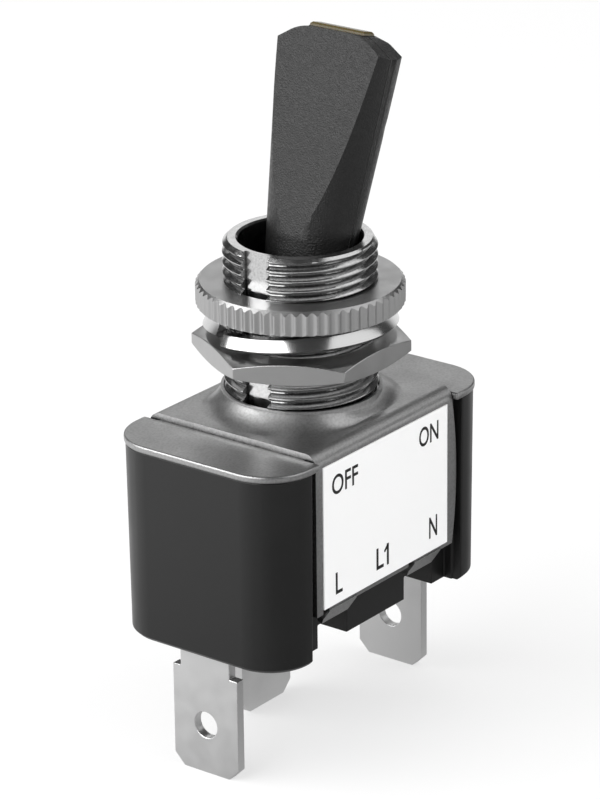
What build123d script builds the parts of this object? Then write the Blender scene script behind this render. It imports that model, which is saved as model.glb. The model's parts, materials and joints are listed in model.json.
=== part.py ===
from build123d import *
import os
from math import asin, cos, degrees, hypot, radians, sin, tan

# Panel toggle switch with a lit lever, a threaded bushing and three blade terminals
# All sizes are in millimetres. Pieces are drawn with Z = 0 at the top of the steel frame
# and then moved so that the origin is at the centre of the bushing's rim. +Z points along
# the bushing towards the lever's tip, the lever leans to +X when the switch is closed,
# and the label faces -Y.

# Clearances
running_fit = 0.05
thread_fit = 0.05
sheet_gap = 0.05
slot_gap = 0.05
contact_gap = 0.05
tip_gap = 0.10

# Threaded bushing, 12 mm across with a fine pitch
thread_radius = 6.0
thread_pitch = 0.79
pitch_line_share = 0.325
bushing_height = 13.45
bore_radius = 4.8
rim_chamfer = 0.4
bore_chamfer = 0.15
keyway_width = 2.4
keyway_depth = 0.8
bushing_flange_length = 14.4
bushing_flange_width = 13.2
bushing_flange_thickness = 1.2
bore_mouth_flare = 0.7

# Nuts and washer on the bushing
hex_nut_flats = 14.87
hex_nut_thickness = 1.68
hex_nut_height = 3.9
hex_nut_chamfer_drop = 0.42
knurled_nut_radius = 8.12
knurled_nut_thickness = 1.93
knurled_nut_height = 8.14
knurl_count = 62
knurl_depth = 0.28
knurl_land = 0.3
knurled_nut_chamfer = 0.3
washer_outer_radius = 7.6
washer_inner_radius = 6.25
washer_thickness = 1.1
washer_edge_chamfer = 0.25
washer_rise = 0.75
washer_middle_height = 6.73
washer_gap_angle = 4.0
washer_split_angle = 161.0
washer_tilt = 5.0
washer_tilt_direction = 245.0

# Cover plate and folded frame
plate_length = 28.1
plate_width = 17.05
plate_thickness = 0.57
plate_corner_radius = 4.05
frame_length = 17.75
plate_side_lip = 0.475
frame_sheet = 0.5
frame_bend_radius = 1.0
flange_depth = 13.3
flange_bow = 0.5
flange_bow_level = 5.0
collar_height = 1.35
collar_wall = 0.25
collar_foot_radius = 0.6
collar_foot_steps = 3
tab_width = 4.0
tab_depth = 0.9
tab_slant = 0.7
tab_bend = 22.0
tab_setback = 3.325
tab_shift = -0.3
tab_notch_width = 0.5
tab_notch_depth = 0.35

# Moulded housing
housing_height = 15.8
housing_inset = 0.12
housing_draft = 0.5
housing_edge_chamfer = 0.35
recess_margin = 0.875
ledge_rise = 0.15
skirt_setback = 1.3
skirt_margin = 0.725
boss_left = 3.4
boss_right = 4.2
notch_left = 7.1
notch_right = 7.9
notch_depth = 1.95
end_wall = 2.45
side_wall = 1.95
cavity_corner_radius = 1.5
floor_thickness = 3.67
stop_height = 4.4
stop_length = 1.2

# Label on the frame's long side
label_margin = 0.8
label_height = 11.7
label_top = 1.2
label_thickness = 0.1

# Lever and its tilt
lever_tilt = 14.8
pivot_height = 7.3
lever_tip_reach = 21.8
lever_root_reach = 2.0
shank_width_at_root = 6.29
shank_depth_at_root = 4.42
shank_end_radius = 1.65
shank_taper = 5.03
flat_thickness_at_pivot = 7.04
flat_thickness_taper = 0.191
shoulder_width = 2.35
shoulder_drop = 1.5
arm_reach = 11.0
arm_radius = 2.05
arm_overlap = 0.5
pin_radius = 1.0
pin_length = 10.4
lead_radius = 0.22
lead_spread = 2.54

# Light in the lever
lens_length = 5.15
lens_width = 1.3
lens_depth = 1.0
lens_proud = 0.3
led_length = 4.8
led_width = 1.5
led_height = 5.4
resistor_radius = 0.72
resistor_length = 3.6
lead_pocket_floor = 2.2
lead_wall = 0.1
lead_knee_rise = 1.9

# Sprung plunger in the lever's lower arm
plunger_radius = 1.25
tip_reach = 13.2
plunger_shoulder_reach = 7.2
plunger_spigot_radius = 0.65
plunger_spigot_length = 1.0
spring_seat_reach = 3.0
plunger_spring_radius = 0.98
plunger_spring_wire = 0.3
plunger_spring_turns = 4

# Rocker, its contacts and its cradle
rocker_drop = 2.6
rocker_tilt = 9.0
rocker_width = 4.4
rocker_sheet = 0.8
dish_margin = 4.0
cheek_thickness = 0.6
cheek_radius = 1.25
rocker_pin_radius = 0.7
rocker_pin_length = 7.2
contact_reach = 7.6
contact_pad_length = 2.8
tail_reach = 6.3
tail_drop = 1.0
moving_contact_radius = 1.5
moving_contact_height = 0.5
fixed_contact_radius = 1.6
fixed_contact_height = 0.7
contact_shank_radius = 0.75
contact_tail_radius = 1.05
contact_tail_height = 0.25
cradle_sheet = 0.6
cradle_inner_width = 5.5
cradle_length = 3.0
cradle_lip = 0.9
rivet_radius = 0.8
rivet_head_radius = 1.4
rivet_head_height = 0.45

# Blade terminals
blade_width = 6.3
blade_thickness = 0.8
blade_length = 8.6
blade_neck_width = 4.8
blade_neck_length = 1.75
blade_tip_chamfer = 0.95
blade_hole_radius = 1.1
blade_hole_from_tip = 4.1
blade_bend_radius = 1.0
line_blade_setback = 1.34
neutral_blade_setback = 0.75
neutral_blade_offset = 0.7
load_blade_face = 4.7
line_shelf_margin = 1.79
neutral_shelf_length = 4.3
load_shelf_length = 6.9
neutral_shelf_height = 4.2
earth_spring_radius = 1.2
earth_spring_wire = 0.4
earth_spring_turns = 4

# Lengths, levels and radii that follow from the sizes above
frame_width = plate_width - 2 * plate_side_lip
tab_offset = frame_length / 2 - tab_setback
recess_length = frame_length + 2 * recess_margin
skirt_length = frame_length + 2 * skirt_margin
skirt_width = frame_width - 2 * skirt_setback
cavity_length = plate_length - 2 * end_wall
cavity_width = frame_width - 2 * side_wall
label_length = frame_length - 2 * label_margin
line_blade_face = plate_length / 2 - line_blade_setback
neutral_blade_face = plate_length / 2 - neutral_blade_setback
line_shelf_length = line_blade_face - contact_reach + line_shelf_margin
plate_top = -frame_sheet
plate_bottom = plate_top - plate_thickness
flange_bottom = -flange_depth
housing_bottom = plate_bottom - housing_height
housing_floor = housing_bottom + floor_thickness
ledge_level = flange_bottom + ledge_rise
blade_inner_bend = blade_bend_radius - blade_thickness
origin_height = bushing_height
blade_shoulder = housing_bottom - blade_neck_length
blade_tip = blade_shoulder - blade_length
pitch_radius = thread_radius - pitch_line_share * thread_pitch
nut_bore_radius = pitch_radius + thread_fit
hex_nut_top = hex_nut_height + hex_nut_thickness
knurled_nut_top = knurled_nut_height + knurled_nut_thickness
rocker_pivot_height = pivot_height - tip_reach - rocker_drop
frame_inner_half = frame_width / 2 - frame_sheet
load_shelf_top = housing_floor + blade_thickness
flange_seat = plate_bottom - bushing_flange_thickness
lead_bypass = pin_radius + running_fit + lead_wall + sheet_gap + lead_radius
big = 60.0
wire_sides = 4


def block(x, y, z):
    """A box from its (low, high) pairs along X, Y and Z."""
    size = [high - low for low, high in (x, y, z)]
    middle = [(high + low) / 2 for low, high in (x, y, z)]
    return Pos(*middle) * Box(*size)


def rod(radius, low, high):
    """An upright round rod between two levels."""
    return Pos(0, 0, (low + high) / 2) * Cylinder(radius, high - low)


def turned(points):
    """A solid turned about Z from (radius, height) corners."""
    return revolve(Plane.XZ * make_face(Polyline(*points, close=True)), Axis.Z)


def rounded_block(length, width, radius, low, high, taper=0.0):
    """A block with rounded upright corners, narrowing downwards by the taper."""
    outline = RectangleRounded(length, width, radius)
    return Pos(0, 0, high) * extrude(outline, amount=low - high, taper=taper)


def folded(points, radius, sheet, width, side=Side.LEFT):
    """A strip of sheet bent along an outline in X and Z, centred on Y."""
    line = FilletPolyline(*points, radius=radius)
    outline = line.wires()[0].offset_2d(sheet, side=side, closed=True)
    return extrude(Plane.XZ * make_face(outline.edges()), amount=width / 2, both=True)


def coil(radius, wire, turns, low, high):
    """An open wound spring between two levels, standing on Z, its wire drawn with few sides."""
    lift = high - low - wire
    path = Helix(pitch=lift / turns, height=lift, radius=radius)
    section = Plane(path @ 0, z_dir=path % 0) * RegularPolygon(wire / 2, wire_sides)
    return Pos(0, 0, low + wire / 2) * sweep(section, path, is_frenet=True)


def on_lever(shape):
    """Place a piece drawn upright about the pivot onto the leaning lever."""
    return Pos(0, 0, pivot_height) * Rot(0, lever_tilt, 0) * shape


def on_rocker(shape):
    """Place a piece drawn level about the rocker's pivot onto the tilted rocker."""
    return Pos(0, 0, rocker_pivot_height) * Rot(0, -rocker_tilt, 0) * shape


# Threaded bushing, one die casting with its thread, keyway and clamped flange
def make_bushing():
    rim = thread_radius - rim_chamfer
    body = turned([
        (bore_radius, flange_seat),
        (thread_radius, flange_seat),
        (thread_radius, hex_nut_height),
        (pitch_radius, hex_nut_height),
        (pitch_radius, knurled_nut_top),
        (thread_radius, knurled_nut_top),
        (thread_radius, bushing_height - rim_chamfer),
        (rim, bushing_height),
        (bore_radius, bushing_height),
    ])
    flange = rod(bushing_flange_length / 2, flange_seat, plate_bottom)
    half = bushing_flange_width / 2
    flange &= block((-big, big), (-half, half), (flange_seat, plate_bottom))
    flare_top = plate_top
    bore = turned([
        (0, flange_seat),
        (bore_radius + bore_mouth_flare, flange_seat),
        (bore_radius, flare_top),
        (bore_radius, bushing_height - bore_chamfer),
        (bore_radius + bore_chamfer, bushing_height),
        (0, bushing_height),
    ])
    keyway = block((-big, keyway_depth - thread_radius), (-keyway_width / 2, keyway_width / 2),
                   (0, bushing_height))
    seat_radius = pin_radius + running_fit
    groove_half = pin_length / 2 + running_fit
    pin_groove = block((-seat_radius, seat_radius), (-groove_half, groove_half),
                       (flange_seat, pivot_height))
    pin_groove += Pos(0, 0, pivot_height) * Rot(90, 0, 0) * Cylinder(seat_radius, 2 * groove_half)
    return body + flange - bore - keyway - pin_groove


def make_pivot_pin():
    return Pos(0, 0, pivot_height) * Rot(90, 0, 0) * Cylinder(pin_radius, pin_length)


# Nuts and the split washer
def make_knurled_nut():
    top = knurled_nut_top
    low = knurled_nut_height
    chamfer = knurled_nut_chamfer
    step = 360 / knurl_count
    root = knurled_nut_radius - knurl_depth
    reach = knurled_nut_radius + knurl_depth
    half_land = degrees(knurl_land / knurled_nut_radius) / 2
    half_flute = step / 2 - half_land
    spread = radians(half_flute)
    flute = Polyline(
        (root, 0),
        (knurled_nut_radius * cos(spread), knurled_nut_radius * sin(spread)),
        (reach, reach * sin(spread)),
        (reach, -reach * sin(spread)),
        (knurled_nut_radius * cos(spread), -knurled_nut_radius * sin(spread)),
        close=True,
    )
    outline = Circle(knurled_nut_radius) - PolarLocations(0, knurl_count) * make_face(flute)
    ring = Pos(0, 0, low) * extrude(outline, amount=knurled_nut_thickness)
    envelope = turned([
        (nut_bore_radius, low),
        (knurled_nut_radius - chamfer, low),
        (knurled_nut_radius, low + chamfer / 2),
        (knurled_nut_radius, top - chamfer),
        (knurled_nut_radius - chamfer, top),
        (nut_bore_radius, top),
    ])
    return ring & envelope


def make_hex_nut():
    low = hex_nut_height
    top = hex_nut_top
    flat_radius = hex_nut_flats / 2
    corner_radius = flat_radius / cos(radians(30))
    drop = hex_nut_chamfer_drop
    prism = Pos(0, 0, low) * extrude(RegularPolygon(corner_radius, 6), amount=hex_nut_thickness)
    envelope = turned([
        (nut_bore_radius, low),
        (flat_radius - sheet_gap, low),
        (corner_radius, low + drop),
        (corner_radius, top - drop),
        (flat_radius - sheet_gap, top),
        (nut_bore_radius, top),
    ])
    return prism & envelope


def make_lock_washer():
    middle_radius = (washer_outer_radius + washer_inner_radius) / 2
    width = washer_outer_radius - washer_inner_radius
    turns = 1 - washer_gap_angle / 360
    path = Helix(pitch=washer_rise / turns, height=washer_rise, radius=middle_radius)
    outline = Rectangle(width, washer_thickness)
    outline = chamfer(outline.vertices().group_by(Axis.X)[-1], washer_edge_chamfer)
    section = Plane(path @ 0, x_dir=(1, 0, 0), z_dir=path % 0) * outline
    ring = sweep(section, path, is_frenet=True)
    ring = Pos(0, 0, -washer_rise / 2) * Rot(0, 0, washer_split_angle + washer_gap_angle / 2) * ring
    lean = Rot(0, 0, washer_tilt_direction) * Rot(0, -washer_tilt, 0) * Rot(0, 0, -washer_tilt_direction)
    return Pos(0, 0, washer_middle_height) * lean * ring


# Cover plate, folded frame and label
def make_cover_plate():
    plate = rounded_block(plate_length, plate_width, plate_corner_radius, plate_bottom, plate_top)
    half = frame_length / 2 + sheet_gap
    neck = frame_width / 2 - frame_bend_radius
    for side in (-1, 1):
        low, high = sorted((side * neck, side * big))
        plate -= block((-half, half), (low, high), (plate_bottom, plate_top))
    return plate - rod(thread_radius + running_fit, plate_bottom, plate_top)


def make_tab(side, place):
    """One crimped tab under a long side, pinched at one root and sloped at the other."""
    left = place - tab_width / 2
    right = place + tab_width / 2
    tab = make_face(Polyline(
        (left + tab_notch_width, frame_sheet / 2),
        (left + tab_notch_width, 0),
        (left, -tab_depth / 2),
        (left, -tab_depth),
        (right - tab_slant, -tab_depth),
        (right, 0),
        (right, frame_sheet / 2),
        close=True,
    ))
    tab = extrude(Plane.XZ * tab, amount=frame_sheet / 2, both=True)
    middle = frame_width / 2 - frame_sheet / 2
    return Pos(0, side * middle, flange_bottom) * Rot(-side * tab_bend, 0, 0) * tab


def make_frame():
    half = frame_width / 2
    outline = [(-half, flange_bottom), (-half, 0), (half, 0), (half, flange_bottom)]
    strap = folded(outline, frame_bend_radius, frame_sheet, frame_length, Side.RIGHT)
    strap = Rot(0, 0, 90) * strap
    end = frame_length / 2
    bow = ThreePointArc((end, plate_bottom), (end + flange_bow, -flange_bow_level), (end, flange_bottom))
    edge = make_face(Wire(bow.edges() + Line((end, flange_bottom), (end, plate_bottom)).edges()))
    for side in (-1, 1):
        strap += Pos(0, side * (half - frame_sheet / 2), 0) * extrude(
            Plane.XZ * edge, amount=frame_sheet / 2, both=True)
    inner = thread_radius + running_fit
    outer = inner + collar_wall
    foot = []
    for step in range(collar_foot_steps + 1):
        turn = radians(90 * step / collar_foot_steps)
        foot.append((outer + collar_foot_radius * (1 - sin(turn)), collar_foot_radius * (1 - cos(turn))))
    collar = turned([
        (inner, collar_height),
        (inner, plate_top / 2),
        (outer + collar_foot_radius, plate_top / 2),
        *foot,
        (outer, collar_height),
    ])
    strap = strap + collar - rod(inner, plate_top, collar_height)
    for side in (-1, 1):
        for place in (-tab_offset, tab_offset):
            root = place + tab_shift
            left = root - tab_width / 2
            low, high = sorted((side * (half - frame_sheet), side * half))
            strap -= block((left - tab_notch_width / 2, left + tab_notch_width), (low, high),
                           (flange_bottom, flange_bottom + tab_notch_depth))
            strap += make_tab(side, root)
    return strap


def make_label():
    face = -frame_width / 2
    return block((-label_length / 2, label_length / 2), (face - label_thickness, face),
                 (-label_top - label_height, -label_top))


# Moulded housing with its cavity, terminal slots, crimp ledges and open-position stop
def make_housing():
    length = plate_length - 2 * housing_inset
    width = plate_width - 2 * housing_inset
    corner = plate_corner_radius - housing_inset
    body = rounded_block(length, width, corner, housing_bottom, plate_bottom, housing_draft)
    body = chamfer(body.faces().sort_by(Axis.Z)[0].edges(), housing_edge_chamfer)
    recess_half = recess_length / 2
    recess_face = frame_inner_half - sheet_gap
    skirt_end = skirt_length / 2
    for side in (-1, 1):
        low, high = sorted((side * recess_face, side * big))
        body -= block((-recess_half, recess_half), (low, high), (housing_bottom, plate_bottom))
        low, high = sorted((side * skirt_width / 2, side * big))
        body -= block((-skirt_end, skirt_end), (low, high), (housing_bottom, ledge_level))
    for low, high in ((-notch_left, -boss_left), (boss_right, notch_right)):
        body -= block((low, high), (-big, big), (housing_bottom, housing_bottom + notch_depth))
    body -= rounded_block(cavity_length, cavity_width, cavity_corner_radius, housing_floor, plate_bottom)
    seat = rod(bushing_flange_length / 2 + slot_gap, flange_seat, plate_bottom)
    half = bushing_flange_width / 2 + slot_gap
    body -= seat & block((-big, big), (-half, half), (flange_seat, plate_bottom))
    neck_half = blade_neck_width / 2 + slot_gap
    body -= block((-line_blade_face - slot_gap, -cavity_length / 2), (-neck_half, neck_half),
                  (line_shelf_bottom - slot_gap, plate_bottom))
    body -= block((-line_blade_face - slot_gap, slot_gap + blade_thickness - line_blade_face),
                  (-neck_half, neck_half), (housing_bottom, plate_bottom))
    body -= block((cavity_length / 2, neutral_blade_face + slot_gap),
                  (neutral_blade_offset - neck_half, neutral_blade_offset + neck_half),
                  (neutral_shelf_top - blade_thickness - slot_gap, plate_bottom))
    body -= block((neutral_blade_face - blade_thickness - slot_gap, neutral_blade_face + slot_gap),
                  (neutral_blade_offset - neck_half, neutral_blade_offset + neck_half),
                  (housing_bottom, plate_bottom))
    body -= block((-neck_half, neck_half),
                  (load_blade_face - blade_thickness - slot_gap, load_blade_face + slot_gap),
                  (housing_bottom, housing_floor))
    bend_low = load_blade_face - blade_thickness - blade_inner_bend - slot_gap
    body -= block((-neck_half, neck_half), (bend_low, load_blade_face),
                  (housing_floor - blade_inner_bend - slot_gap, housing_floor))
    body -= rod(rivet_head_radius + 2 * slot_gap, housing_floor - rivet_head_height - slot_gap,
                housing_floor)
    pedestal = block((contact_tail_radius + 2 * slot_gap - contact_reach, shelf_support_end),
                     (-blade_neck_width / 2, blade_neck_width / 2), (housing_floor, line_shelf_bottom))
    stop = block((tail_reach - stop_length, tail_reach),
                 (-rocker_width / 2, rocker_width / 2), (housing_floor, housing_floor + stop_height))
    return body + pedestal + stop


# Blade terminals, each stamped from one strip and bent over at its inner end
def make_terminal(shelf_top, shelf_length, hole_reach=None, hole_radius=contact_shank_radius):
    """A terminal drawn with its outer face at X = 0 and its shelf running to +X."""
    outline = [(0, blade_shoulder - slot_gap), (0, shelf_top), (shelf_length, shelf_top)]
    strip = folded(outline, blade_bend_radius, blade_thickness, blade_neck_width, Side.RIGHT)
    half = blade_width / 2
    shape = make_face(Polyline(
        (-half, blade_shoulder),
        (half, blade_shoulder),
        (half, blade_tip + blade_tip_chamfer),
        (half - blade_tip_chamfer, blade_tip),
        (blade_tip_chamfer - half, blade_tip),
        (-half, blade_tip + blade_tip_chamfer),
        close=True,
    ))
    shape -= Pos(0, blade_tip + blade_hole_from_tip) * Circle(blade_hole_radius)
    terminal = strip + extrude(Plane.YZ * shape, amount=blade_thickness)
    if hole_reach is not None:
        hole = rod(hole_radius + running_fit, shelf_top - blade_thickness, shelf_top)
        terminal -= Pos(hole_reach, 0, 0) * hole
    return terminal


def make_terminal_line():
    terminal = make_terminal(line_shelf_top, line_shelf_length, line_blade_face - contact_reach)
    return Pos(-line_blade_face, 0, 0) * terminal


def make_terminal_neutral():
    terminal = make_terminal(neutral_shelf_top, neutral_shelf_length)
    return Pos(neutral_blade_face, neutral_blade_offset, 0) * Rot(0, 0, 180) * terminal


def make_terminal_load():
    terminal = make_terminal(load_shelf_top, load_shelf_length, load_blade_face, rivet_radius)
    return Pos(0, load_blade_face, 0) * Rot(0, 0, -90) * terminal


def make_earth_spring():
    spring = coil(earth_spring_radius, earth_spring_wire, earth_spring_turns,
                  neutral_shelf_top, plate_bottom)
    middle = neutral_blade_face - neutral_shelf_length / 2 - blade_thickness / 2
    return Pos(middle, neutral_blade_offset, 0) * spring


# Rocker cradle with its rivet
def make_cradle():
    half = cradle_inner_width / 2 + cradle_sheet
    low = load_shelf_top
    top = rocker_pivot_height + cradle_lip
    outline = [(-half, top), (-half, low), (half, low), (half, top)]
    cradle = folded(outline, 2 * cradle_sheet, cradle_sheet, cradle_length, Side.LEFT)
    cradle = Rot(0, 0, 90) * cradle
    seat = rocker_pin_radius + running_fit
    notch = Pos(0, 0, rocker_pivot_height) * Rot(90, 0, 0) * Cylinder(seat, 2 * half)
    notch += block((-seat, seat), (-half, half), (rocker_pivot_height, top))
    return cradle - notch - rod(rivet_radius + running_fit, low, low + cradle_sheet)


def make_cradle_rivet():
    low = housing_floor
    high = load_shelf_top + cradle_sheet
    shank = rod(rivet_radius, low - rivet_head_height, high + rivet_head_height)
    head = rod(rivet_head_radius, high, high + rivet_head_height)
    tail = rod(rivet_head_radius, low - rivet_head_height, low)
    return shank + head + tail


# Rocker, a dished strip whose top keeps a constant gap to the plunger's swinging tip
def tip_on_rocker(tilt):
    """The plunger tip's centre, seen from the rocker's pivot as both of them turn."""
    x = -tip_reach * sin(radians(tilt))
    z = pivot_height - tip_reach * cos(radians(tilt)) - rocker_pivot_height
    turn = radians(rocker_tilt * tilt / lever_tilt)
    return (x * cos(turn) + z * sin(turn), z * cos(turn) - x * sin(turn))


def rest_to_rocker(x, z):
    """A place in the model at rest, seen in the rocker's own level frame."""
    turn = radians(rocker_tilt)
    z -= rocker_pivot_height
    return (x * cos(turn) + z * sin(turn), z * cos(turn) - x * sin(turn))


def make_rocker():
    end_x, end_z = tip_on_rocker(lever_tilt)
    middle_z = tip_on_rocker(0)[1]
    rise = end_z - middle_z
    path_radius = (end_x ** 2 + rise ** 2) / (2 * rise)
    dish_centre = middle_z + path_radius
    dish_radius = path_radius + plunger_radius + tip_gap
    half_angle = degrees(asin(-end_x / path_radius)) + dish_margin
    edge_x = dish_radius * sin(radians(half_angle))
    edge_z = dish_centre - dish_radius * cos(radians(half_angle))
    pad_low, pad_high = contact_reach - contact_pad_length / 2, contact_reach + contact_pad_length / 2
    inner_pad = rest_to_rocker(-pad_low, pad_top)
    outer_pad = rest_to_rocker(-pad_high, pad_top)
    left = Polyline(outer_pad, inner_pad, (-edge_x, edge_z))
    dish = ThreePointArc((-edge_x, edge_z), (0, dish_centre - dish_radius), (edge_x, edge_z))
    right = Polyline((edge_x, edge_z), (tail_reach - stop_length, edge_z - tail_drop),
                     (tail_reach, edge_z - tail_drop))
    line = Wire(left.edges() + dish.edges() + right.edges())
    outline = line.offset_2d(rocker_sheet, side=Side.RIGHT, closed=True)
    strip = extrude(Plane.XZ * make_face(outline.edges()), amount=rocker_width / 2, both=True)
    strip_bottom = dish_centre - dish_radius - rocker_sheet / 2
    outer = rocker_width / 2
    inner = outer - cheek_thickness
    for side in (-1, 1):
        low, high = sorted((side * inner, side * outer))
        strip += block((-cheek_radius, cheek_radius), (low, high), (0, strip_bottom))
        strip += Pos(0, (low + high) / 2, 0) * Rot(90, 0, 0) * Cylinder(cheek_radius, cheek_thickness)
    strip -= Rot(90, 0, 0) * Cylinder(rocker_pin_radius + running_fit / 2, rocker_width)
    rocker = on_rocker(strip)
    hole = rod(contact_shank_radius + running_fit / 2, pad_top - rocker_sheet, pad_top)
    return rocker - Pos(-contact_reach, 0, 0) * hole


def make_rocker_pin():
    return Pos(0, 0, rocker_pivot_height) * Rot(90, 0, 0) * Cylinder(rocker_pin_radius, rocker_pin_length)


def make_moving_contact():
    low = pad_top - rocker_sheet
    contact = rod(moving_contact_radius, low - moving_contact_height, low)
    contact += rod(contact_shank_radius, low, pad_top + contact_tail_height)
    contact += rod(contact_tail_radius, pad_top, pad_top + contact_tail_height)
    return Pos(-contact_reach, 0, 0) * contact


def make_fixed_contact():
    contact = rod(fixed_contact_radius, line_shelf_top, line_shelf_top + fixed_contact_height)
    contact += rod(contact_shank_radius, line_shelf_bottom - contact_tail_height, line_shelf_top)
    contact += rod(contact_tail_radius, line_shelf_bottom - contact_tail_height, line_shelf_bottom)
    return Pos(-contact_reach, 0, 0) * contact


# Lever, drawn upright about its pivot and then leaned to its closed position
def oval(half_depth, half_width, end_radius):
    """An oval of four tangent arcs, with small ones at its ends along Y."""
    end_centre = half_width - end_radius
    slack = half_depth - end_radius
    side_centre = (end_centre ** 2 - slack ** 2) / (2 * slack)
    span = hypot(side_centre, end_centre)
    x = end_radius * side_centre / span
    y = end_centre + end_radius * end_centre / span
    return make_face([
        ThreePointArc((-x, y), (0, half_width), (x, y)),
        ThreePointArc((x, y), (half_depth, 0), (x, -y)),
        ThreePointArc((x, -y), (0, -half_width), (-x, -y)),
        ThreePointArc((-x, -y), (-half_depth, 0), (-x, y)),
    ])


def shank_half_width(reach):
    return shank_width_at_root / 2 + (reach + lever_root_reach) * tan(radians(shank_taper))


def flat_half_thickness(reach):
    return (flat_thickness_at_pivot - flat_thickness_taper * reach) / 2


def make_lever():
    low, high = -lever_root_reach, lever_tip_reach
    root = oval(shank_depth_at_root / 2, shank_width_at_root / 2, shank_end_radius)
    lever = Pos(0, 0, low) * extrude(root, amount=high - low, taper=-shank_taper)
    for side in (-1, 1):
        wedge = make_face(Polyline(
            (side * flat_half_thickness(low), low),
            (side * flat_half_thickness(high), high),
            (side * big, high),
            (side * big, low),
            close=True,
        ))
        lever -= extrude(Plane.XZ * wedge, amount=big, both=True)
        edge = shank_half_width(high)
        corner = make_face(Polyline(
            (side * (edge - shoulder_width), high),
            (side * edge, high - shoulder_drop),
            (side * big, high - shoulder_drop),
            (side * big, high),
            close=True,
        ))
        lever -= extrude(Plane.YZ * corner, amount=big, both=True)
    lever += rod(arm_radius, -arm_reach, arm_overlap - lever_root_reach)
    lever -= rod(plunger_radius + running_fit, -arm_reach, -spring_seat_reach)
    lever -= Rot(90, 0, 0) * Cylinder(pin_radius + running_fit, big)
    lens_floor = high - lens_depth
    lens_half = lens_length / 2 + sheet_gap
    lens_side = lens_width / 2 + sheet_gap
    lever -= block((-lens_side, lens_side), (-lens_half, lens_half), (lens_floor, high))
    led_half = led_length / 2 + sheet_gap
    led_side = led_width / 2 + sheet_gap
    led_floor = lens_floor - led_height
    lever -= block((-led_side, led_side), (-led_half, led_half), (led_floor, lens_floor))
    lead_half = lead_spread / 2 + resistor_radius + sheet_gap
    lever -= block((-led_side, led_side), (-lead_half, lead_half), (lead_pocket_floor, led_floor))
    slot_half = lead_radius + sheet_gap
    lever -= block((0, lead_bypass + slot_half), (-slot_half, lead_half),
                   (lead_pocket_floor, lead_pocket_floor + lead_knee_rise))
    lever -= Pos(0, -lead_spread / 2, 0) * rod(slot_half, 0, lead_pocket_floor)
    lever -= block((lead_bypass - slot_half, lead_bypass + slot_half), (-slot_half, slot_half),
                   (-spring_seat_reach, lead_pocket_floor))
    return on_lever(lever)


def make_tip_lens():
    high = lever_tip_reach
    lens = block((-lens_width / 2, lens_width / 2), (-lens_length / 2, lens_length / 2),
                 (high - lens_depth, high + lens_proud))
    lens = chamfer(lens.faces().sort_by(Axis.Z)[-1].edges(), lens_proud / 2)
    return on_lever(lens)


def make_led():
    high = lever_tip_reach - lens_depth
    low = high - led_height
    half = lead_spread / 2
    led = block((-led_width / 2, led_width / 2), (-led_length / 2, led_length / 2), (low, high))
    led += Pos(0, -half, 0) * rod(lead_radius, pin_radius + running_fit, low)
    led += Pos(0, half, 0) * rod(lead_radius, resistor_top, low)
    return on_lever(led)


def make_resistor():
    low = resistor_top - resistor_length
    half = lead_spread / 2
    body = Pos(0, half, 0) * rod(resistor_radius, low, resistor_top)
    knee = lead_pocket_floor + lead_radius + sheet_gap
    path = FilletPolyline(
        (0, half, low),
        (0, half, knee + lead_knee_rise),
        (lead_bypass, 0, knee),
        (lead_bypass, 0, -spring_seat_reach),
        radius=half / 2,
    )
    section = Plane(path @ 0, z_dir=path % 0) * RegularPolygon(lead_radius, wire_sides)
    return on_lever(body + sweep(section, path))


# Sprung plunger in the lever's lower arm
def make_plunger():
    spigot_top = plunger_spigot_length - plunger_shoulder_reach
    nose = CenterArc((0, -tip_reach), plunger_radius, -90, 90)
    sides = Polyline(
        (plunger_radius, -tip_reach),
        (plunger_radius, -plunger_shoulder_reach),
        (plunger_spigot_radius, -plunger_shoulder_reach),
        (plunger_spigot_radius, spigot_top),
        (0, spigot_top),
        (0, -tip_reach - plunger_radius),
    )
    outline = make_face(Wire(nose.edges() + sides.edges()))
    return on_lever(revolve(Plane.XZ * outline, Axis.Z))


def make_plunger_spring():
    return on_lever(coil(plunger_spring_radius, plunger_spring_wire, plunger_spring_turns,
                         -plunger_shoulder_reach, -spring_seat_reach))


# Levels inside the housing that follow from the rocker's closed position
contact_plane = rocker_pivot_height - contact_reach * sin(radians(rocker_tilt))
pad_top = contact_plane + rocker_sheet / 2
line_shelf_top = pad_top - rocker_sheet - moving_contact_height - contact_gap - fixed_contact_height
line_shelf_bottom = line_shelf_top - blade_thickness
shelf_support_end = line_shelf_length - line_blade_face
neutral_shelf_top = housing_floor + neutral_shelf_height
resistor_top = lever_tip_reach - lens_depth - led_height - 2 * sheet_gap - lead_spread / 2

pieces = {
    "housing": make_housing(),
    "cover_plate": make_cover_plate(),
    "frame": make_frame(),
    "label": make_label(),
    "bushing": make_bushing(),
    "pivot_pin": make_pivot_pin(),
    "knurled_nut": make_knurled_nut(),
    "lock_washer": make_lock_washer(),
    "hex_nut": make_hex_nut(),
    "lever": make_lever(),
    "tip_lens": make_tip_lens(),
    "led": make_led(),
    "led_resistor": make_resistor(),
    "plunger": make_plunger(),
    "plunger_spring": make_plunger_spring(),
    "rocker": make_rocker(),
    "rocker_pin": make_rocker_pin(),
    "moving_contact": make_moving_contact(),
    "fixed_contact": make_fixed_contact(),
    "cradle": make_cradle(),
    "cradle_rivet": make_cradle_rivet(),
    "terminal_line": make_terminal_line(),
    "terminal_load": make_terminal_load(),
    "terminal_neutral": make_terminal_neutral(),
    "earth_spring": make_earth_spring(),
}

os.makedirs("parts", exist_ok=True)
for name, piece in pieces.items():
    export_step(Pos(0, 0, -origin_height) * piece, f"parts/{name}.step")
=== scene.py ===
import json
import math

import bmesh
import bpy
from bpy.props import FloatProperty, FloatVectorProperty, IntProperty, PointerProperty
from mathutils import Matrix, Vector


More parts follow.
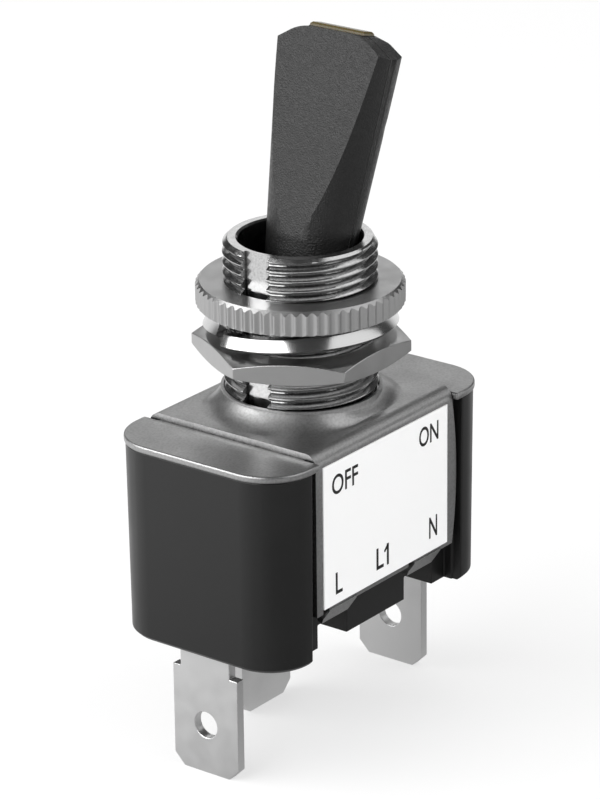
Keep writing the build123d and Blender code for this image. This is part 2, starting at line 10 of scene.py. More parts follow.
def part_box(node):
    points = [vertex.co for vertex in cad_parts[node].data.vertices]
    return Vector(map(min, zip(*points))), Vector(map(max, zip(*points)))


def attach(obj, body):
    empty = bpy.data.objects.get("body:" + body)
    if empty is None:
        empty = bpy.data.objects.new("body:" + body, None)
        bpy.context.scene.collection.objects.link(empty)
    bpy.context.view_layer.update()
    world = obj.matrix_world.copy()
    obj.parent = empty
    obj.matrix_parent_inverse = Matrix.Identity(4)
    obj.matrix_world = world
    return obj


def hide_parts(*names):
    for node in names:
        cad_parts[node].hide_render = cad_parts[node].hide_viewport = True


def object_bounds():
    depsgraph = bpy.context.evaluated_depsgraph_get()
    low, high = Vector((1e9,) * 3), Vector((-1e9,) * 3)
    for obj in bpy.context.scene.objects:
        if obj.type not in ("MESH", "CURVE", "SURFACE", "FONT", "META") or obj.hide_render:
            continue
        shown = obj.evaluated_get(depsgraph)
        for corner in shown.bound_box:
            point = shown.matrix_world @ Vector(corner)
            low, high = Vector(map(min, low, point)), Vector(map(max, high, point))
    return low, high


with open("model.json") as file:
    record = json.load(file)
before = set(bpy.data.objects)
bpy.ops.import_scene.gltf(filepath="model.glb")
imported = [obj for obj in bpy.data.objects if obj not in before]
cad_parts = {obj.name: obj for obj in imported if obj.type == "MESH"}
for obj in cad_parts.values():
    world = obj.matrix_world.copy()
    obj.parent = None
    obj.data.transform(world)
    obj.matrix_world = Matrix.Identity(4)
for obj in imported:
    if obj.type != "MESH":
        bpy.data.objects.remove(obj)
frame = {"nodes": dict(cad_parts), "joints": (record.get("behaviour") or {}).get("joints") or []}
cad_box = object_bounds()

bl_info = {
    "name": "Panel Toggle Switch",
    "version": (1, 0, 0),
    "blender": (4, 5, 0),
    "location": "3D View > Sidebar > Toggle Switch",
    "description": "Dresses a panel toggle switch: its thread, edges, label and finishes",
    "category": "Object",
}

# Places are in metres in the switch's own frame: the origin is at the centre of the
# bushing's rim, +Z points along the bushing and the label faces -Y.
MM = 0.001
TOUCHING = 0.001 * MM
RIM = 0.0
SHEET_THICKNESS = 0.5 * MM
FLANGE_DEPTH = 0.57 * MM
PLATE_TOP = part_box("cover_plate")[1].z
SHEET_TOP = PLATE_TOP + SHEET_THICKNESS
BUSHING_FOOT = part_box("bushing")[0].z
BUSHING_FLANGE_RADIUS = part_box("bushing")[1].x
BUSHING_FLANGE_HALF_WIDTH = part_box("bushing")[1].y
BUSHING_FLANGE_TOP = PLATE_TOP - FLANGE_DEPTH
PIVOT_PIN_LEVEL = (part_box("pivot_pin")[0].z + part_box("pivot_pin")[1].z) / 2
PIVOT_PIN_HALF_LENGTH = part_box("pivot_pin")[1].y
PIVOT_PIN_RADIUS = (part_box("pivot_pin")[1].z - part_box("pivot_pin")[0].z) / 2
LABEL_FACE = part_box("label")[0].y
FLOOR_LEVEL = cad_box[0][2]
JOINTS = {joint["name"]: joint for joint in frame["joints"]}
LEVER_PIVOT = Vector(JOINTS["lever_tilt"]["pos_m"])
LEVER_ALONG = Vector(JOINTS["plunger_slide"]["axis"]).normalized()
if LEVER_ALONG.z < 0:
    LEVER_ALONG.negate()
LEVER_ACROSS = Vector((0, 1, 0)).cross(LEVER_ALONG)
PARTING_LINE = -0.26 * MM

# Edges that turn by more degrees than these are sharp.
SHARP_EDGE = 32.0
SHARP_THREAD = 28.0
SHARP_RING = 35.0
SHARP_LEVER = 22.0
# Faces that turn by fewer degrees than this are joined.
NEARLY_FLAT = 0.5
STEPS_ROUND = 120


def linear(hex_colour):
    """An sRGB hex colour as linear red, green and blue."""
    channels = [int(hex_colour[i:i + 2], 16) / 255 for i in (1, 3, 5)]
    return tuple(c / 12.92 if c <= 0.04045 else ((c + 0.055) / 1.055) ** 2.4 for c in channels)


def length(name, description, size_mm):
    return FloatProperty(name=name, description=description, default=size_mm * MM, min=0.0,
                         unit="LENGTH", precision=5)


def angle(name, description, degrees):
    return FloatProperty(name=name, description=description, default=math.radians(degrees),
                         subtype="ANGLE", unit="ROTATION")


def colour(name, description, hex_colour):
    return FloatVectorProperty(name=name, description=description, subtype="COLOR", size=3,
                               min=0.0, max=1.0, default=linear(hex_colour))


class BushingSizes(bpy.types.PropertyGroup):
    crest_radius: length("Crest radius", "Outer radius of the bushing's thread", 6.0)
    root_radius: length("Root radius", "Radius at the bottom of the thread's grooves", 5.54)
    pitch: length("Pitch", "Distance from one thread to the next", 0.79)
    thread_start: length("Thread start", "Height of the lowest thread over the steel sheet", 1.0)
    bore_radius: length("Bore radius", "Radius of the opening that the lever moves in", 4.8)
    rim_chamfer: length("Rim chamfer", "Width of the slope round the rim's outside", 0.4)
    bore_chamfer: length("Bore chamfer", "Width of the slope round the rim's inside", 0.15)
    keyway_width: length("Keyway width", "Width of the flat-bottomed slot down the thread", 2.4)
    keyway_depth: length("Keyway depth", "Depth of that slot below the crests", 0.8)


class SheetSizes(bpy.types.PropertyGroup):
    collar_radius: length("Collar radius", "Inner radius of the collar's flare", 6.12)
    collar_height: length("Collar height", "Height of the collar over the sheet", 1.37)
    collar_reach: length("Collar reach", "How far the flare runs out along the frame", 2.3)
    collar_half_width: length("Collar half width", "How far the flare reaches across the frame",
                              6.95)
    collar_bend: FloatProperty(name="Collar bend", description="How sharply the flare curves up",
                               default=1.8, min=1.0)


class WasherSizes(bpy.types.PropertyGroup):
    outer_radius: length("Outer radius", "Outer radius of the lock washer", 7.6)
    inner_radius: length("Inner radius", "Inner radius of the lock washer", 6.25)
    thickness: length("Thickness", "Thickness of the wire", 1.1)
    chamfer: length("Chamfer", "Height of the slopes at the outside's top and bottom", 0.25)
    slope: length("Slope", "How far the outside leans in at its top", 0.38)
    rise: length("Rise", "How far the ends stand apart along the bushing", 0.75)
    middle: length("Middle", "Height of the washer's middle over the steel sheet", 6.73)
    gap: angle("Gap", "Opening between the two ends", 4)
    split: angle("Split", "Direction of that opening", 161)
    lean: angle("Lean", "How far the washer leans over", 5)
    lean_direction: angle("Lean direction", "Direction of its raised side", 245)


class KnurlSizes(bpy.types.PropertyGroup):
    flutes: IntProperty(name="Flutes", description="Flutes round the knurled nut", default=62,
                        min=3)
    flute_depth: length("Flute depth", "Depth of each flute", 0.22)
    land: length("Land", "Width of the plain strip between two flutes", 0.13)
    slope: length("Slope", "Width of the slope round the nut's upper rim", 0.32)
    bore_radius: length("Bore radius", "Radius of the nut's bore", 5.8)


class EdgeSizes(bpy.types.PropertyGroup):
    sheet_edge: length("Sheet edge", "Widest rounding of the stamped sheet's edges", 0.15)
    moulded_edge: length("Moulded edge", "Rounding of the housing's edges", 0.12)
    lever_edge: length("Lever edge", "Widest rounding of the lever's edges", 0.09)
    shoulder_edge: length("Shoulder edge", "Reach of the rounding above the lever's shoulders", 0.9)
    nut_edge: length("Nut edge", "Rounding of the hexagon nut's edges", 0.05)
    blade_edge: length("Blade edge", "Rounding of the stamped terminals' edges", 0.06)


class LabelSizes(bpy.types.PropertyGroup):
    ink_thickness: length("Ink thickness", "How far the printed letters stand off the label", 0.01)
    position_cap_height: length("Position letters",
                                "Cap height of the words for the two positions", 1.62)
    terminal_cap_height: length("Terminal letters", "Cap height of the terminals' marks", 1.8)


class FinishColours(bpy.types.PropertyGroup):
    housing: colour("Housing", "Black phenolic moulding", "#171717")
    lever: colour("Lever", "Black nylon moulding", "#101010")
    lens: colour("Lens", "Amber lens in the lever's tip", "#5A5034")
    zinc: colour("Zinc", "Satin zinc plate on the frame and cover plate", "#B8B8B8")
    bright_nickel: colour("Bright nickel", "Bright nickel plate on the bushing and washer",
                          "#D6D6D6")
    satin_nickel: colour("Satin nickel", "Satin nickel plate on the nuts", "#BABABA")
    tin: colour("Tin", "Matt tin plate on the terminals", "#ECECEC")
    label: colour("Label", "White film of the label", "#FCFCFC")
    ink: colour("Ink", "Printed letters", "#141210")
    steel: colour("Steel", "Drawn steel of the pins and coil springs inside", "#B4B4B2")
    brass: colour("Brass", "Plain brass of the plunger, rocker and rivet", "#CDA868")
    silver: colour("Silver", "Silver alloy of the contacts", "#E8E6E0")
    epoxy: colour("Epoxy", "Milky epoxy of the light in the lever", "#E4D9B8")
    enamel: colour("Enamel", "Tan enamel of the resistor", "#C6A276")


class StudioSettings(bpy.types.PropertyGroup):
    floor: colour("Floor", "Floor and backdrop", "#F6F6F6")
    key_power: FloatProperty(name="Key light", description="Power of the softbox on the left",
                             default=1.6, min=0.0, unit="POWER")
    fill_power: FloatProperty(name="Fill light", description="Power of the softbox on the right",
                              default=0.42, min=0.0, unit="POWER")
    back_power: FloatProperty(name="Back light", description="Power of the softbox behind",
                              default=0.17, min=0.0, unit="POWER")
    surroundings: FloatProperty(name="Surroundings", description="Even light from all round",
                                default=0.6, min=0.0)
    backdrop: FloatProperty(name="Backdrop", description="How light the backdrop is in the metal",
                            default=0.8, min=0.0)
    room: FloatProperty(name="Room", description="How light the room overhead looks in the metal",
                        default=0.05, min=0.0)


# Materials

def add_node(tree, kind, settings=None, inputs=None):
    """Adds a node, sets its properties, and sets or links its sockets."""
    node = tree.nodes.new(kind)
    for name, value in (settings or {}).items():
        setattr(node, name, value)
    for name, value in (inputs or {}).items():
        if isinstance(value, bpy.types.NodeSocket):
            tree.links.new(value, node.inputs[name])
        else:
            node.inputs[name].default_value = value
    return node


def new_material(name, **sockets):
    """A material with one shader, its uniform values on the shader's own sockets."""
    made = bpy.data.materials.new(name)
    made.use_nodes = True
    shader = made.node_tree.nodes["Principled BSDF"]
    for socket, value in sockets.items():
        socket = socket.replace("_", " ")
        if socket == "Base Color":
            made.diffuse_color = (*value, 1.0)
            value = (*value, 1.0)
        shader.inputs[socket].default_value = value
    return made, made.node_tree, shader


def pattern(tree, size_mm, stretch=(1, 1, 1), detail=2.0):
    """Noise on the piece's own places, with features of a given size drawn out by the stretch."""
    place = add_node(tree, "ShaderNodeTexCoord")
    mapping = add_node(tree, "ShaderNodeMapping", inputs={
        "Vector": place.outputs["Object"],
        "Scale": tuple(1 / s for s in stretch),
    })
    return add_node(tree, "ShaderNodeTexNoise", inputs={
        "Vector": mapping.outputs["Vector"],
        "Scale": 1 / (size_mm * MM),
        "Detail": detail,
    }).outputs["Fac"]


def give_grain(tree, shader, size_mm, depth_mm, stretch=(1, 1, 1), detail=2.0):
    """Gives a surface a relief with features of the given size and depth."""
    bump = add_node(tree, "ShaderNodeBump", inputs={
        "Height": pattern(tree, size_mm, stretch, detail), "Distance": depth_mm * MM,
    })
    tree.links.new(bump.outputs["Normal"], shader.inputs["Normal"])
    return bump


def give_bloom(tree, shader, size_mm, smoothest, roughest, detail=2.0):
    """Lets a surface's roughness drift between two values in patches of the given size."""
    least, most = 0.3, 0.7  # where nearly all of the noise lies
    drift = add_node(tree, "ShaderNodeMapRange", inputs={
        "Value": pattern(tree, size_mm, detail=detail), "From Min": least, "From Max": most,
        "To Min": smoothest, "To Max": roughest,
    })
    tree.links.new(drift.outputs["Result"], shader.inputs["Roughness"])


def flecks_and_crevice_shade(tree, shader, base, reach_mm, darkest, fleck_mm):
    """Darkens a metal in fine flecks, and paints shade into its colour: faintly in the open, deeply
    where it is hemmed in.
    """
    fleck_weight, hemmed_in, unshaded = 0.5, 0.55, 1.3
    # Painted shade: ambient occlusion darkens the colour in folds, gaps, thread roots and corners.
    openness = add_node(tree, "ShaderNodeAmbientOcclusion", settings={"samples": 8}, inputs={
        "Distance": reach_mm * MM})
    flecked = add_node(tree, "ShaderNodeMath", settings={"operation": "MULTIPLY_ADD"}, inputs={
        0: pattern(tree, fleck_mm), 1: fleck_weight, 2: openness.outputs["AO"]})
    share = add_node(tree, "ShaderNodeMapRange", inputs={
        "Value": flecked.outputs["Value"], "From Min": hemmed_in, "From Max": unshaded,
        "To Min": darkest, "To Max": 1.0})
    tinted = add_node(tree, "ShaderNodeVectorMath", settings={"operation": "SCALE"}, inputs={
        0: tuple(base), "Scale": share.outputs["Result"]})
    tree.links.new(tinted.outputs["Vector"], shader.inputs["Base Color"])


def black_phenolic(colours):
    # Black phenolic, compression moulded: the mould's dull polish gives a soft sheen
    # with a faint unevenness, and no visible grain.
    made, tree, shader = new_material(
        "Phenolic, black, moulded", Base_Color=tuple(colours.housing), Roughness=0.32)
    give_grain(tree, shader, 0.5, 0.0015)
    give_bloom(tree, shader, 3.0, 0.28, 0.38)
    return made


def grained_nylon(colours):
    # Black nylon, injection moulded in a spark-eroded mould: a fine even grain that breaks
    # the light up on the flats, and a thin parting line round the lever's middle. The grain
    # is drawn at 0.13 mm so that it shows.
    made, tree, shader = new_material(
        "Nylon, black, grained moulding", Base_Color=tuple(colours.lever), Roughness=0.38)
    grain = give_grain(tree, shader, 0.13, 0.06)
    give_bloom(tree, shader, 0.35, 0.32, 0.48)
    ridge_top, ridge_foot, ridge_height = 0.03 * MM, 0.1 * MM, 0.08 * MM
    place = add_node(tree, "ShaderNodeTexCoord")
    from_line = add_node(tree, "ShaderNodeVectorMath", settings={"operation": "SUBTRACT"}, inputs={
        0: place.outputs["Object"], 1: tuple(LEVER_PIVOT + PARTING_LINE * LEVER_ACROSS)})
    across = add_node(tree, "ShaderNodeVectorMath", settings={"operation": "DOT_PRODUCT"}, inputs={
        0: from_line.outputs["Vector"], 1: tuple(LEVER_ACROSS)})
    away = add_node(tree, "ShaderNodeMath", settings={"operation": "ABSOLUTE"}, inputs={
        0: across.outputs["Value"]})
    ridge = add_node(tree, "ShaderNodeMapRange", inputs={
        "Value": away.outputs["Value"], "From Min": ridge_top, "From Max": ridge_foot,
        "To Min": 1.0, "To Max": 0.0})
    parting = add_node(tree, "ShaderNodeBump", inputs={
        "Height": ridge.outputs["Result"], "Distance": ridge_height,
        "Normal": grain.outputs["Normal"]})
    tree.links.new(parting.outputs["Normal"], shader.inputs["Normal"])
    return made


def amber_polycarbonate(colours):
    # Tinted polycarbonate, injection moulded: smooth and glossy, and it lets light in a
    # little way, so the unlit lens looks a soft dull amber.
    made, tree, shader = new_material(
        "Polycarbonate, amber, moulded", Base_Color=tuple(colours.lens), Roughness=0.25,
        Subsurface_Weight=0.15, Subsurface_Scale=0.4 * MM, IOR=1.58)
    give_grain(tree, shader, 1.2, 0.003)
    return made


def zinc_plated_sheet(colours):
    # Cold-rolled steel sheet, stamped and zinc plated: a satin metal with dark flecks, whose
    # rolling lines run along the switch and blur what it mirrors. Folds and gaps get painted shade.
    # The lines and flecks are drawn at 0.16 and 0.2 mm so that they show.
    made, tree, shader = new_material(
        "Steel sheet, zinc plated", Base_Color=tuple(colours.zinc), Metallic=1.0, Roughness=0.38)
    give_grain(tree, shader, 0.16, 0.014, stretch=(3, 1, 1), detail=3.0)
    give_bloom(tree, shader, 3.5, 0.33, 0.42)
    flecks_and_crevice_shade(tree, shader, colours.zinc, 0.5, 0.1, 0.2)
    return made


def bright_nickel_casting(colours):
    # Zinc alloy, die cast, threaded and bright nickel plated: a mirror with slight ripples
    # and flecks, so its reflections are crisp but not quite straight. The thread's roots and
    # the keyway's corners get painted shade.
    made, tree, shader = new_material(
        "Zinc alloy, bright nickel plated", Base_Color=tuple(colours.bright_nickel), Metallic=1.0,
        Roughness=0.16)
    give_grain(tree, shader, 0.4, 0.006, detail=4.0)
    give_bloom(tree, shader, 0.6, 0.1, 0.24)
    flecks_and_crevice_shade(tree, shader, colours.bright_nickel, 0.5, 0.03, 0.15)
    return made


def satin_nickel_brass(colours):
    # Brass, turned and satin nickel plated: a fine grain, drawn at 0.2 mm so that it shows,
    # spreads the highlights.
    made, tree, shader = new_material(
        "Brass, satin nickel plated", Base_Color=tuple(colours.satin_nickel), Metallic=1.0,
        Roughness=0.32)
    give_grain(tree, shader, 0.2, 0.007, detail=3.0)
    give_bloom(tree, shader, 1.5, 0.28, 0.38)
    return made


def nickel_spring_steel(colours):
    # Spring steel, rolled, coiled and nickel plated: smooth, with soft bright bands.
    made, tree, shader = new_material(
        "Spring steel, nickel plated", Base_Color=tuple(colours.bright_nickel), Metallic=1.0,
        Roughness=0.16)
    give_grain(tree, shader, 0.9, 0.002)
    return made


def tinned_brass(colours):
    # Brass strip, stamped and matt tin plated: pale, with a cloudy bloom a few millimetres
    # across and only blurred reflections.
    made, tree, shader = new_material(
        "Brass, matt tin plated", Base_Color=tuple(colours.tin), Metallic=1.0, Roughness=0.42)
    give_bloom(tree, shader, 1.6, 0.36, 0.52, detail=4.0)
    give_grain(tree, shader, 0.3, 0.002)
    return made


def white_film(colours):
    # White polyester film with a satin print face: nearly even, with a low sheen.
    made, tree, shader = new_material(
        "Polyester film, white", Base_Color=tuple(colours.label), Roughness=0.4)
    give_grain(tree, shader, 0.9, 0.001)
    return made


def black_ink(colours):
    # Screen-printed ink: flat black, slightly duller than the film under it.
    made, tree, shader = new_material(
        "Ink, black, screen printed", Base_Color=tuple(colours.ink), Roughness=0.55)
    give_grain(tree, shader, 0.2, 0.001)
    return made


def drawn_steel(colours):
    # Drawn steel wire and rod: grey and smooth, with faint draw marks.
    made, tree, shader = new_material(
        "Steel, drawn", Base_Color=tuple(colours.steel), Metallic=1.0, Roughness=0.3)
    give_grain(tree, shader, 0.2, 0.002)
    return made


def plain_brass(colours):
    # Brass, stamped or turned and left plain: warm yellow, lightly dulled.
    made, tree, shader = new_material(
        "Brass, plain", Base_Color=tuple(colours.brass), Metallic=1.0, Roughness=0.32)
    give_bloom(tree, shader, 1.5, 0.26, 0.4)
    return made


def contact_silver(colours):
    # Silver contact alloy, cold headed: whiter than the brass it is set in, satin.
    made, tree, shader = new_material(
        "Silver alloy, headed", Base_Color=tuple(colours.silver), Metallic=1.0, Roughness=0.25)
    give_grain(tree, shader, 0.3, 0.002)
    return made


def diffused_epoxy(colours):
    # Epoxy, cast with a diffuser: milky and lightly warm.
    made, tree, shader = new_material(
        "Epoxy, diffused, cast", Base_Color=tuple(colours.epoxy), Roughness=0.3,
        Subsurface_Weight=0.4, Subsurface_Scale=0.8 * MM)
    give_grain(tree, shader, 0.8, 0.002)
    return made


def tan_enamel(colours):
    # Dipped enamel on the resistor: tan and glossy, a little uneven.
    made, tree, shader = new_material(
        "Enamel, tan, dipped", Base_Color=tuple(colours.enamel), Roughness=0.25)
    give_grain(tree, shader, 0.7, 0.008)
    return made


def white_studio_paper(studio):
    # Studio paper: matt and even. The camera sees it paler than it lights the switch, and
    # the soft shadow stays. Metal mirrors it too, with painted shade before the label.
    made, tree, shader = new_material("Paper, white, matt", Base_Color=tuple(studio.floor),
                                      Roughness=0.9, Specular_IOR_Level=0.1)
    white = (1, 1, 1, 1)
    shade_stretch, shade_middle = (0.55, 1.0, 0.0), (0.005, -0.05, 0.0)
    shade_end, paper_start = 0.03, 0.1
    shade_level, paper_level = 0.22, 0.95
    camera_glow = 0.6
    rays = add_node(tree, "ShaderNodeLightPath")
    place = add_node(tree, "ShaderNodeTexCoord")
    drawn_in = add_node(tree, "ShaderNodeVectorMath", settings={"operation": "MULTIPLY"}, inputs={
        0: place.outputs["Object"], 1: shade_stretch})
    from_shade = add_node(tree, "ShaderNodeVectorMath", settings={"operation": "DISTANCE"}, inputs={
        0: drawn_in.outputs["Vector"], 1: shade_middle})
    # Painted shade: as metal mirrors it, the paper is dimmed in a patch before the label, where the
    # switch's shadow lies.
    painted_floor_shade = add_node(tree, "ShaderNodeMapRange", inputs={
        "Value": from_shade.outputs["Value"], "From Min": shade_end, "From Max": paper_start,
        "To Min": shade_level, "To Max": paper_level})
    mirrored = add_node(tree, "ShaderNodeEmission", inputs={
        "Color": white, "Strength": painted_floor_shade.outputs["Result"]})
    glow = add_node(tree, "ShaderNodeEmission", inputs={"Color": white, "Strength": 1.0})
    seen = add_node(tree, "ShaderNodeMath", settings={"operation": "MAXIMUM"}, inputs={
        0: rays.outputs["Is Camera Ray"], 1: rays.outputs["Is Transmission Ray"]})
    share = add_node(tree, "ShaderNodeMath", settings={"operation": "MULTIPLY"}, inputs={
        0: seen.outputs["Value"], 1: camera_glow})
    paper = add_node(tree, "ShaderNodeMixShader", inputs={
        0: share.outputs["Value"], 1: shader.outputs["BSDF"], 2: glow.outputs["Emission"]})
    mixed = add_node(tree, "ShaderNodeMixShader", inputs={
        0: rays.outputs["Is Glossy Ray"], 1: paper.outputs["Shader"],
        2: mirrored.outputs["Emission"]})
    tree.links.new(mixed.outputs["Shader"], tree.nodes["Material Output"].inputs["Surface"])
    return made


finishes = {}


def finish_of(context, recipe):
    """A finish, made once and shared by the pieces that have it."""
    if recipe not in finishes:
        finishes[recipe] = recipe(context.scene.toggle_colours)
    return finishes[recipe]


# Pieces

def paint(context, node, recipe):
    """Gives a CAD node that keeps its mesh its finish."""
    piece = frame["nodes"][node]
    if not piece.material_slots:
        piece.data.materials.append(None)
    for slot in piece.material_slots:
        slot.material = finish_of(context, recipe)
    return piece


def add_piece(context, bm, name, recipe, body, sharp_angle=SHARP_EDGE):
    """Makes an object of a finished mesh, which moves with a body of the switch."""
    mesh = bpy.data.meshes.new(name)
    bm.to_mesh(mesh)
    bm.free()
    mesh.polygons.foreach_set("use_smooth", [True] * len(mesh.polygons))
    mesh.set_sharp_from_angle(angle=math.radians(sharp_angle))
    mesh.materials.append(finish_of(context, recipe))
    piece = bpy.data.objects.new(name, mesh)
    context.scene.collection.objects.link(piece)
    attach(piece, body)
    return piece


def soften(context, node, name, recipe, body, edge, steps=2, sharp_angle=SHARP_EDGE):
    """A copy of a CAD node in its place, with its flat faces joined and its edges rounded."""
    # Blender narrows all of a piece's rounding until none of it overlaps. That leaves less
    # than 0.01 mm on the frame and next to nothing on the lever.
    bm = bmesh.new()
    bm.from_mesh(frame["nodes"][node].data)
    bmesh.ops.remove_doubles(bm, verts=bm.verts, dist=TOUCHING)
    bmesh.ops.dissolve_limit(bm, angle_limit=math.radians(NEARLY_FLAT), verts=bm.verts,
                             edges=bm.edges)
    piece = add_piece(context, bm, name, recipe, body, sharp_angle)
    rounding = piece.modifiers.new("Rounded edges", "BEVEL")
    rounding.width = edge
    rounding.segments = steps
    rounding.limit_method = "ANGLE"
    rounding.angle_limit = math.radians(sharp_angle)
    rounding.miter_outer = "MITER_ARC"
    shading = piece.modifiers.new("Flat faces", "WEIGHTED_NORMAL")
    shading.keep_sharp = True
    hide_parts(node)
    return piece


def cut(context, piece, cutter):
    """Takes a closed shape out of a piece."""
    mesh = bpy.data.meshes.new("cutter")
    cutter.to_mesh(mesh)
    cutter.free()
    tool = bpy.data.objects.new("cutter", mesh)
    context.scene.collection.objects.link(tool)
    change = piece.modifiers.new("Cut", "BOOLEAN")
    change.operation = "DIFFERENCE"
    change.solver = "EXACT"
    change.object = tool
    evaluated = piece.evaluated_get(context.evaluated_depsgraph_get())
    finished = bpy.data.meshes.new_from_object(evaluated)
    piece.modifiers.clear()
    piece.data = finished
    bpy.data.objects.remove(tool)


def box_between(low, high):
    """A closed box from its lowest and highest corners."""
    bm = bmesh.new()
    low, high = Vector(low), Vector(high)
    size = high - low
    place = Matrix.Translation((low + high) / 2) @ Matrix.Diagonal((*size, 1.0))
    bmesh.ops.create_cube(bm, size=1.0, matrix=place)
    return bm


def open_edges(bm, level):
    """The open edges at one level."""
    return [e for e in bm.edges
            if e.is_boundary and all(abs(v.co.z - level) < TOUCHING for v in e.verts)]


def carry_on(bm, edges, radius, level):
    """Extrudes a loop of edges to a new radius and level, and returns the new loop."""
    grown = bmesh.ops.extrude_edge_only(bm, edges=edges)["geom"]
    for vert in [g for g in grown if isinstance(g, bmesh.types.BMVert)]:
        flat = Vector((vert.co.x, vert.co.y, 0)).normalized() * radius
        vert.co = (flat.x, flat.y, level)
    return [g for g in grown if isinstance(g, bmesh.types.BMEdge)]


def threaded_sleeve(sizes):
    """The bushing's wall: a thread wound by a spin with lift, its rim, its bore and its flange."""
    foot = SHEET_TOP + sizes.thread_start
    crest, root, pitch = sizes.crest_radius, sizes.root_radius, sizes.pitch
    crest_flat, crest_edge, crest_round = 0.035 * pitch, 0.085 * pitch, 0.035 * MM
    root_edge, root_round = 0.4 * pitch, 0.03 * MM
    tooth = (
        (-0.5 * pitch, root),
        (-root_edge, root + root_round),
        (-crest_edge, crest - crest_round),
        (-crest_flat, crest),
        (crest_flat, crest),
        (crest_edge, crest - crest_round),
        (root_edge, root + root_round),
    )
    bm = bmesh.new()
    turns = int((RIM - foot) / pitch) + 3
    line = [bm.verts.new((radius, 0, foot + (turn - 1) * pitch + height))
            for turn in range(turns) for height, radius in tooth]
    edges = [bm.edges.new(pair) for pair in zip(line, line[1:])]
    bmesh.ops.spin(bm, geom=line + edges, cent=(0, 0, 0), axis=(0, 0, 1),
                   dvec=(0, 0, pitch / STEPS_ROUND), angle=math.tau, steps=STEPS_ROUND,
                   use_merge=False)
    bmesh.ops.remove_doubles(bm, verts=bm.verts, dist=2 * TOUCHING)
    slope_foot, slope_steps = RIM - sizes.rim_chamfer, 6
    for i in range(slope_steps + 1):
        level = slope_foot + sizes.rim_chamfer * i / slope_steps
        bmesh.ops.bisect_plane(bm, geom=bm.verts[:] + bm.edges[:] + bm.faces[:],
                               plane_co=(0, 0, level), plane_no=(0, 0, 1),
                               clear_outer=level == RIM)
    bmesh.ops.bisect_plane(bm, geom=bm.verts[:] + bm.edges[:] + bm.faces[:],
                           plane_co=(0, 0, foot), plane_no=(0, 0, 1), clear_inner=True)
    for vert in bm.verts:
        limit = crest - max(0.0, vert.co.z - slope_foot)
        radius = Vector((vert.co.x, vert.co.y)).length
        if radius > limit:
            vert.co.x *= limit / radius
            vert.co.y *= limit / radius
    bore = sizes.bore_radius
    inner = carry_on(bm, open_edges(bm, RIM), bore + sizes.bore_chamfer, RIM)
    inner = carry_on(bm, inner, bore, RIM - sizes.bore_chamfer)
    inner = carry_on(bm, inner, bore, BUSHING_FOOT)
    outer = carry_on(bm, open_edges(bm, foot), crest, foot)
    outer = carry_on(bm, outer, crest, BUSHING_FLANGE_TOP)
    outer = carry_on(bm, outer, BUSHING_FLANGE_RADIUS, BUSHING_FLANGE_TOP)
    outer = carry_on(bm, outer, BUSHING_FLANGE_RADIUS, BUSHING_FOOT)
    bmesh.ops.bridge_loops(bm, edges=inner + outer)
    for vert in bm.verts:
        vert.co.y = max(-BUSHING_FLANGE_HALF_WIDTH, min(BUSHING_FLANGE_HALF_WIDTH, vert.co.y))
    bmesh.ops.recalc_face_normals(bm, faces=bm.faces)
    return bm


class TOGGLE_OT_bushing(bpy.types.Operator):
    """Makes the threaded bushing with its keyway, rim and pin groove"""

    bl_idname = "toggle.bushing"
    bl_label = "Threaded bushing"

    def execute(self, context):
        sizes = context.scene.toggle_bushing
        piece = add_piece(context, threaded_sleeve(sizes), "threaded_bushing",
                          bright_nickel_casting, "switch_body", SHARP_THREAD)
        crest = sizes.crest_radius
        half = sizes.keyway_width / 2
        clearance, past = 0.05 * MM, 1 * MM
        cut(context, piece, box_between((-2 * crest, -half, SHEET_TOP),
                                        (sizes.keyway_depth - crest, half, RIM + past)))
        reach = PIVOT_PIN_RADIUS + clearance
        end = PIVOT_PIN_HALF_LENGTH + clearance
        cut(context, piece, box_between((-reach, -end, BUSHING_FOOT - past),
                                        (reach, end, PIVOT_PIN_LEVEL + reach)))
        piece.data.set_sharp_from_angle(angle=math.radians(SHARP_THREAD))
        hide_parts("bushing")
        return {"FINISHED"}


def collar_flare(sizes):
    """The drawn collar's outside: a spun bell, long along the frame and steep across it."""
    steps, steps_round, buried, corner = 8, 144, 0.1, 8
    sunk, least_slant = 0.03 * MM, 0.01
    bm = bmesh.new()
    line = [bm.verts.new((1 + i / steps, 0, (1 - i / steps) ** sizes.collar_bend))
            for i in range(steps + 1)]
    line += [bm.verts.new((2, 0, -buried)), bm.verts.new((1, 0, -buried))]
    edges = [bm.edges.new(pair) for pair in zip(line, line[1:] + line[:1])]
    bmesh.ops.spin(bm, geom=line + edges, cent=(0, 0, 0), axis=(0, 0, 1), angle=math.tau,
                   steps=steps_round, use_merge=True)
    inner = sizes.collar_radius
    for vert in bm.verts:
        way = Vector((vert.co.x, vert.co.y, 0))
        share = way.length - 1
        way.normalize()
        along = inner + sizes.collar_reach
        across = sizes.collar_half_width / max(abs(way.y), least_slant)
        outer = (along ** -corner + across ** -corner) ** (-1 / corner)
        level = SHEET_TOP + sizes.collar_height * vert.co.z - sunk
        vert.co = way * (inner + share * (outer - inner)) + Vector((0, 0, level))
    bmesh.ops.recalc_face_normals(bm, faces=bm.faces)
    return bm


class TOGGLE_OT_sheet_metal(bpy.types.Operator):
    """Gives the cover plate its rounded edges and the frame its drawn collar, in satin zinc"""

    bl_idname = "toggle.sheet_metal"
    bl_label = "Cover plate and frame"

    def execute(self, context):
        edge = context.scene.toggle_edges.sheet_edge
        soften(context, "cover_plate", "cover_plate_sheet", zinc_plated_sheet, "switch_body",
               edge, 3)
        soften(context, "frame", "folded_frame", zinc_plated_sheet, "switch_body",
               edge, 3)
        add_piece(context, collar_flare(context.scene.toggle_sheet), "frame_collar",
                  zinc_plated_sheet, "switch_body")
        return {"FINISHED"}


